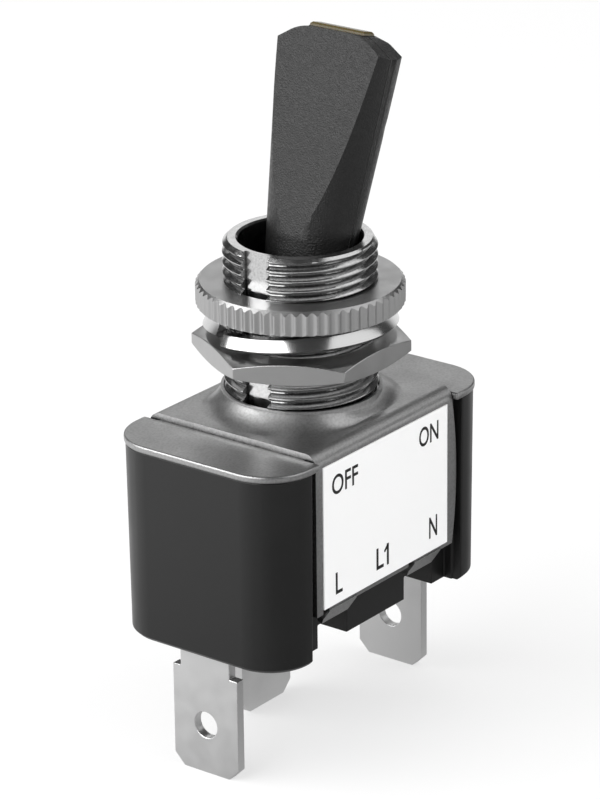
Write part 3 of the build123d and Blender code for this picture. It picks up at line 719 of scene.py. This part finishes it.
class TOGGLE_OT_housing(bpy.types.Operator):
    """Gives the moulded housing its soft edges and black phenolic"""

    bl_idname = "toggle.housing"
    bl_label = "Housing"

    def execute(self, context):
        soften(context, "housing", "moulded_housing", black_phenolic, "switch_body",
               context.scene.toggle_edges.moulded_edge)
        return {"FINISHED"}


def fluted_ring(sizes):
    """The knurled nut: a spun ring with bevelled rims and flutes rolled into its outer wall."""
    low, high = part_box("knurled_nut")
    outer, bottom, top = high.x, low.z, high.z
    slope = sizes.slope
    profile = (
        (sizes.bore_radius, bottom),
        (sizes.bore_radius, top),
        (outer - slope, top),
        (outer, top - slope),
        (outer, bottom + slope / 2),
        (outer - slope / 2, bottom),
    )
    per_flute, roundness = 10, 1.7
    bm = bmesh.new()
    line = [bm.verts.new((radius, 0, level)) for radius, level in profile]
    edges = [bm.edges.new(pair) for pair in zip(line, line[1:] + line[:1])]
    bmesh.ops.spin(bm, geom=line + edges, cent=(0, 0, 0), axis=(0, 0, 1), angle=math.tau,
                   steps=sizes.flutes * per_flute, use_merge=True)
    land = sizes.land * sizes.flutes / (math.tau * outer)
    for vert in bm.verts:
        radius = Vector((vert.co.x, vert.co.y)).length
        if radius < outer - TOUCHING:
            continue
        share = math.atan2(vert.co.y, vert.co.x) / math.tau * sizes.flutes % 1.0
        across = min(1.0, abs(2 * share - 1) / (1 - land))
        depth = sizes.flute_depth * (1 - across ** roundness)
        vert.co.x *= (outer - depth) / radius
        vert.co.y *= (outer - depth) / radius
        vert.co.z += depth if vert.co.z > (top + bottom) / 2 else -depth
    bmesh.ops.recalc_face_normals(bm, faces=bm.faces)
    return bm


class TOGGLE_OT_nuts(bpy.types.Operator):
    """Makes the knurled nut's rolled flutes and gives the hexagon nut its broken edges"""

    bl_idname = "toggle.nuts"
    bl_label = "Nuts"

    def execute(self, context):
        ring = add_piece(context, fluted_ring(context.scene.toggle_knurl), "knurled_ring_nut",
                         satin_nickel_brass, "knurled_nut_body", SHARP_RING)
        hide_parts("knurled_nut")
        soften(context, "hex_nut", "hexagon_nut", satin_nickel_brass, "hex_nut_body",
               context.scene.toggle_edges.nut_edge)
        return {"FINISHED"}


def split_ring(sizes):
    """The lock washer: its outline swept by a spin with lift, then leaned to where it rests."""
    inner, outer, half = sizes.inner_radius, sizes.outer_radius, sizes.thickness / 2
    chamfer, slope = sizes.chamfer, sizes.slope
    side_share = 0.76
    outline = (
        (inner, -half),
        (outer - chamfer, -half),
        (outer, chamfer - half),
        (outer - side_share * slope, half - chamfer),
        (outer - slope, half),
        (inner, half),
    )
    bm = bmesh.new()
    section = [bm.verts.new((radius, 0, level)) for radius, level in outline]
    face = bm.faces.new(section)
    bmesh.ops.spin(bm, geom=section + face.edges[:] + [face], cent=(0, 0, 0), axis=(0, 0, 1),
                   dvec=(0, 0, sizes.rise / STEPS_ROUND), angle=math.tau - sizes.gap,
                   steps=STEPS_ROUND, use_merge=False)
    bmesh.ops.recalc_face_normals(bm, faces=bm.faces)
    toward = Matrix.Rotation(sizes.lean_direction, 4, "Z")
    lean = toward @ Matrix.Rotation(-sizes.lean, 4, "Y") @ toward.inverted()
    bm.transform(Matrix.Translation((0, 0, SHEET_TOP + sizes.middle)) @ lean
                 @ Matrix.Rotation(sizes.split + sizes.gap / 2, 4, "Z")
                 @ Matrix.Translation((0, 0, -sizes.rise / 2)))
    return bm


class TOGGLE_OT_washer(bpy.types.Operator):
    """Winds the split lock washer with its leaning outside and bright nickel"""

    bl_idname = "toggle.washer"
    bl_label = "Lock washer"

    def execute(self, context):
        piece = add_piece(context, split_ring(context.scene.toggle_washer), "split_washer",
                          nickel_spring_steel, "switch_body", SHARP_RING)
        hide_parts("lock_washer")
        return {"FINISHED"}


class TOGGLE_OT_lever(bpy.types.Operator):
    """Gives the lever its rounded shoulders, parting line and fine grain"""

    bl_idname = "toggle.lever"
    bl_label = "Lever"

    def execute(self, context):
        edges = context.scene.toggle_edges
        piece = soften(context, "lever", "paddle_lever", grained_nylon, "lever_body",
                       edges.lever_edge, 3, SHARP_LEVER)
        least_span, tip_depth = 2.5 * MM, 0.01 * MM
        bm = bmesh.new()
        bm.from_mesh(piece.data)
        tip = max(v.co.dot(LEVER_ALONG) for v in bm.verts)
        shoulders = [e for e in bm.edges
                     if abs((e.verts[0].co - e.verts[1].co).dot(LEVER_ACROSS)) > least_span
                     and all(v.co.dot(LEVER_ALONG) > tip - tip_depth for v in e.verts)]
        bmesh.ops.bevel(bm, geom=shoulders, offset=edges.shoulder_edge, offset_type="OFFSET",
                        segments=6, profile=0.5, affect="EDGES", material=-1)
        bm.to_mesh(piece.data)
        bm.free()
        piece.data.set_sharp_from_angle(angle=math.radians(SHARP_LEVER))
        return {"FINISHED"}


class TOGGLE_OT_lens(bpy.types.Operator):
    """Gives the lens in the lever's tip its amber"""

    bl_idname = "toggle.lens"
    bl_label = "Lens"

    def execute(self, context):
        paint(context, "tip_lens", amber_polycarbonate)
        return {"FINISHED"}


class TOGGLE_OT_terminals(bpy.types.Operator):
    """Gives the three blade terminals their broken edges and matt tin"""

    bl_idname = "toggle.terminals"
    bl_label = "Terminals"

    def execute(self, context):
        edge = context.scene.toggle_edges.blade_edge
        for which in ("line", "load", "neutral"):
            soften(context, f"terminal_{which}", f"blade_{which}", tinned_brass, "switch_body",
                   edge)
        return {"FINISHED"}


class TOGGLE_OT_label(bpy.types.Operator):
    """Gives the label its white film and prints the position words and the terminal marks"""

    bl_idname = "toggle.label"
    bl_label = "Label"

    def execute(self, context):
        sizes = context.scene.toggle_label
        paint(context, "label", white_film)
        word = sizes.position_cap_height
        mark = sizes.terminal_cap_height
        # Each word's left side, its base over the sheet's top, and its width are in millimetres.
        for name, text, left, base, width, height in (
            ("word_off", "OFF", -7.0, -3.86, 3.3, word),
            ("word_on", "ON", 4.29, -3.68, 2.57, word),
            ("mark_l", "L", -6.64, -12.12, 0.87, mark),
            ("mark_l1", "L1", -1.38, -11.99, 1.62, mark),
            ("mark_n", "N", 5.62, -11.8, 1.08, mark),
        ):
            place = Vector((left * MM, LABEL_FACE, SHEET_TOP + base * MM))
            self.print_text(context, name, text, place, width * MM, height, sizes.ink_thickness)
        return {"FINISHED"}

    def print_text(self, context, name, text, place, width, height, thickness):
        """Sets a word in thin capitals of a width and height from its lower left corner."""
        curve = bpy.data.curves.new(name, "FONT")
        curve.body = text
        curve.size = 1.0
        curve.offset = 0.01
        curve.resolution_u = 6
        draft = bpy.data.objects.new(name, curve)
        context.scene.collection.objects.link(draft)
        evaluated = draft.evaluated_get(context.evaluated_depsgraph_get())
        mesh = bpy.data.meshes.new_from_object(evaluated)
        bpy.data.objects.remove(draft)
        bm = bmesh.new()
        bm.from_mesh(mesh)
        same_corner = 1e-5
        bmesh.ops.remove_doubles(bm, verts=bm.verts, dist=same_corner)
        low = Vector((min(v.co.x for v in bm.verts), min(v.co.y for v in bm.verts), 0))
        high = Vector((max(v.co.x for v in bm.verts), max(v.co.y for v in bm.verts), 0))
        if text.endswith("1"):
            # The typeface draws a bare stroke, so the slanting flag is added at its top.
            below_corner, slant, size = Vector((0.15, 0.13, 0)), math.radians(42), (0.3, 0.09, 1, 1)
            flag = (Matrix.Translation(high - below_corner) @ Matrix.Rotation(slant, 4, "Z")
                    @ Matrix.Diagonal(size))
            bmesh.ops.create_grid(bm, x_segments=1, y_segments=1, size=0.5, matrix=flag)
        grow = Matrix.Diagonal((width / (high.x - low.x), height / (high.y - low.y), 1, 1))
        upright = Matrix.Rotation(math.radians(90), 4, "X")
        bm.transform(Matrix.Translation(place) @ upright @ grow @ Matrix.Translation(-low))
        raised = bmesh.ops.extrude_face_region(bm, geom=bm.faces[:])["geom"]
        tops = [g for g in raised if isinstance(g, bmesh.types.BMVert)]
        bmesh.ops.translate(bm, verts=tops, vec=(0, -thickness, 0))
        bmesh.ops.recalc_face_normals(bm, faces=bm.faces)
        add_piece(context, bm, name, black_ink, "switch_body")


class TOGGLE_OT_inner_parts(bpy.types.Operator):
    """Gives the pieces inside the switch their metals and resins"""

    bl_idname = "toggle.inner_parts"
    bl_label = "Inner parts"

    def execute(self, context):
        for recipe, nodes in (
            (drawn_steel, ("pivot_pin", "rocker_pin", "plunger_spring", "earth_spring")),
            (plain_brass, ("plunger", "rocker", "cradle_rivet")),
            (contact_silver, ("moving_contact", "fixed_contact")),
            (tinned_brass, ("cradle",)),
            (diffused_epoxy, ("led",)),
            (tan_enamel, ("led_resistor",)),
        ):
            for node in nodes:
                paint(context, node, recipe)
        return {"FINISHED"}


class TOGGLE_OT_stage(bpy.types.Operator):
    """Makes the floor, the backdrop, the soft lights and the camera"""

    bl_idname = "toggle.stage"
    bl_label = "Stage"

    def execute(self, context):
        self.set_paper(context)
        self.set_lights(context)
        self.set_surroundings(context)
        self.set_camera(context)
        context.scene.view_settings.view_transform = "Standard"
        return {"FINISHED"}

    def set_paper(self, context):
        """A wide flat floor that runs into the white backdrop behind."""
        half_width = 0.9
        bm = bmesh.new()
        bmesh.ops.create_grid(bm, x_segments=1, y_segments=1, size=half_width,
                              matrix=Matrix.Translation((0, 0, FLOOR_LEVEL)))
        mesh = bpy.data.meshes.new("floor")
        bm.to_mesh(mesh)
        bm.free()
        mesh.materials.append(white_studio_paper(context.scene.toggle_studio))
        floor = bpy.data.objects.new("floor", mesh)
        context.scene.collection.objects.link(floor)

    def set_lights(self, context):
        """Two large softboxes with a dark gap between them where the camera is, and one behind."""
        studio = context.scene.toggle_studio
        # Directions are in degrees, and distances and sizes in metres.
        for name, power, azimuth, elevation, away, width, height in (
            ("key_light", studio.key_power, 152, 33, 0.35, 0.50, 0.30),
            ("fill_light", studio.fill_power, 293, 40, 0.35, 0.46, 0.30),
            ("back_light", studio.back_power, 38, 24, 0.40, 0.40, 0.14),
        ):
            lamp = bpy.data.lights.new(name, "AREA")
            lamp.shape = "RECTANGLE"
            lamp.size = width
            lamp.size_y = height
            lamp.energy = power
            light = bpy.data.objects.new(name, lamp)
            turn, lift = math.radians(azimuth), math.radians(elevation)
            aim = Vector((math.cos(turn) * math.cos(lift), math.sin(turn) * math.cos(lift),
                          math.sin(lift)))
            light.location = aim * away
            light.rotation_euler = aim.to_track_quat("Z", "Y").to_euler()
            light.visible_camera = False
            context.scene.collection.objects.link(light)

    def set_surroundings(self, context):
        """A white backdrop all round that metal mirrors too, up to where the dim room begins."""
        world = bpy.data.worlds.new("white_room")
        world.use_nodes = True
        tree = world.node_tree
        studio = context.scene.toggle_studio
        rays = add_node(tree, "ShaderNodeLightPath")
        direction = add_node(tree, "ShaderNodeTexCoord")
        parts = add_node(tree, "ShaderNodeSeparateXYZ", inputs={
            "Vector": direction.outputs["Generated"]})
        horizon, dim_room = 0.0, 0.1
        mirrored = add_node(tree, "ShaderNodeMapRange", inputs={
            "Value": parts.outputs["Z"], "From Min": horizon, "From Max": dim_room,
            "To Min": studio.backdrop, "To Max": studio.room})
        level = add_node(tree, "ShaderNodeMapRange", inputs={
            "Value": rays.outputs["Is Glossy Ray"], "To Min": studio.surroundings,
            "To Max": mirrored.outputs["Result"]})
        seen = add_node(tree, "ShaderNodeMath", settings={"operation": "MAXIMUM"}, inputs={
            0: rays.outputs["Is Camera Ray"], 1: rays.outputs["Is Transmission Ray"]})
        strength = add_node(tree, "ShaderNodeMapRange", inputs={
            "Value": seen.outputs["Value"], "To Min": level.outputs["Result"], "To Max": 1.0})
        back = tree.nodes["Background"]
        back.inputs["Color"].default_value = (1, 1, 1, 1)
        tree.links.new(strength.outputs["Result"], back.inputs["Strength"])
        context.scene.world = world

    def set_camera(self, context):
        """The camera looks at the frame's top from the label's left, a little from above."""
        azimuth, elevation, roll = math.radians(-52.474), math.radians(21.452), math.radians(-0.705)
        distance = 312.62 * MM
        side_step, rise = -0.139 * MM, -0.057 * MM
        # The focal length is 4020 pixels on a picture 799 pixels high.
        sensor_height = 24.0
        lens_share = 4020 / 799
        turn = (Matrix.Rotation(azimuth, 4, "Z")
                @ Matrix.Rotation(math.radians(90) - elevation, 4, "X")
                @ Matrix.Rotation(roll, 4, "Z"))
        place = Matrix.Translation((0, 0, SHEET_TOP)) @ turn @ Matrix.Translation(
            (side_step, rise, distance))
        lens = bpy.data.cameras.new("camera")
        lens.sensor_fit = "VERTICAL"
        lens.sensor_height = sensor_height
        lens.lens = lens_share * sensor_height
        lens.clip_start = 0.01
        lens.clip_end = 10.0
        camera = bpy.data.objects.new("camera", lens)
        camera.matrix_world = place
        context.scene.collection.objects.link(camera)
        context.scene.camera = camera


class TOGGLE_PT_panel(bpy.types.Panel):
    """Lists the pieces of the switch and its stage"""

    bl_idname = "TOGGLE_PT_panel"
    bl_label = "Toggle Switch"
    bl_space_type = "VIEW_3D"
    bl_region_type = "UI"
    bl_category = "Toggle Switch"

    def draw(self, context):
        for operator in OPERATORS:
            self.layout.operator(operator.bl_idname)
        for name in SETTINGS:
            group = getattr(context.scene, name)
            box = self.layout.box()
            for setting in group.bl_rna.properties:
                if setting.identifier not in {"rna_type", "name"}:
                    box.prop(group, setting.identifier)


SETTINGS = {
    "toggle_bushing": BushingSizes,
    "toggle_sheet": SheetSizes,
    "toggle_knurl": KnurlSizes,
    "toggle_washer": WasherSizes,
    "toggle_edges": EdgeSizes,
    "toggle_label": LabelSizes,
    "toggle_colours": FinishColours,
    "toggle_studio": StudioSettings,
}

OPERATORS = (
    TOGGLE_OT_bushing,
    TOGGLE_OT_sheet_metal,
    TOGGLE_OT_housing,
    TOGGLE_OT_nuts,
    TOGGLE_OT_washer,
    TOGGLE_OT_lever,
    TOGGLE_OT_lens,
    TOGGLE_OT_terminals,
    TOGGLE_OT_label,
    TOGGLE_OT_inner_parts,
    TOGGLE_OT_stage,
)


def register():
    for group in (*SETTINGS.values(), *OPERATORS, TOGGLE_PT_panel):
        bpy.utils.register_class(group)
    for name, group in SETTINGS.items():
        setattr(bpy.types.Scene, name, PointerProperty(type=group))


def unregister():
    for name in SETTINGS:
        delattr(bpy.types.Scene, name)
    for group in (TOGGLE_PT_panel, *reversed(OPERATORS), *reversed(SETTINGS.values())):
        bpy.utils.unregister_class(group)


def main():
    register()
    for operator in OPERATORS:
        family, name = operator.bl_idname.split(".")
        getattr(getattr(bpy.ops, family), name)()


if __name__ == "__main__":
    main()
